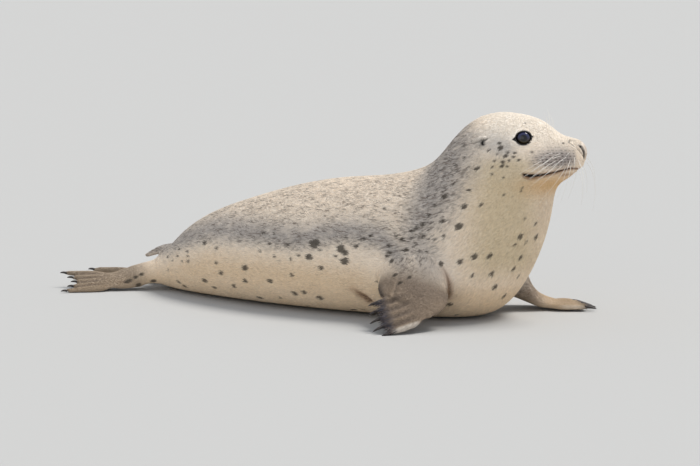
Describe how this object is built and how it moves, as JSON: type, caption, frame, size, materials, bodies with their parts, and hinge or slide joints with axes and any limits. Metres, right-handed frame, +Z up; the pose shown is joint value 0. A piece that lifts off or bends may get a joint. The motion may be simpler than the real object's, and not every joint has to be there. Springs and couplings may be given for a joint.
{
  "type": "harbor seal",
  "caption": "Still, life-size harbor seal lying on its belly, head raised and turned to its left, pale coat with dark spots.",
  "frame": {"origin": "middle of the bounding box, on the floor the animal lies on", "axes": "+X along the trunk towards the head, +Y to the animal's left, +Z up"},
  "size_m": [1.0846, 0.5232, 0.3965],
  "materials": {
    "coat_pale": "short dense fur, pale cream with grey-brown mottling and dark spots",
    "coat_flipper": "short fur, brown-grey, darker towards the digits",
    "claw_horn": "smooth dark horn",
    "eye_wet": "wet, almost black",
    "whisker": "stiff pale hair",
    "nose_skin": "bare damp skin of nostrils, lids and mouth line"
  },
  "bodies": {
    "root": {"claw_left_1": "claw_horn", "claw_left_2": "claw_horn", "claw_left_3": "claw_horn", "claw_left_4": "claw_horn", "claw_left_5": "claw_horn", "claw_right_1": "claw_horn", "claw_right_2": "claw_horn", "claw_right_3": "claw_horn", "claw_right_4": "claw_horn", "claw_right_5": "claw_horn", "ear_left": "coat_pale", "ear_right": "coat_pale", "eye_left": "eye_wet", "eye_right": "eye_wet", "fore_flipper_left": "coat_flipper", "fore_flipper_right": "coat_flipper", "head": "coat_pale", "hind_flipper_left": "coat_flipper", "hind_flipper_right": "coat_flipper", "neck": "coat_pale", "tail": "coat_flipper", "trunk": "coat_pale"}
  },
  "joints": []
}
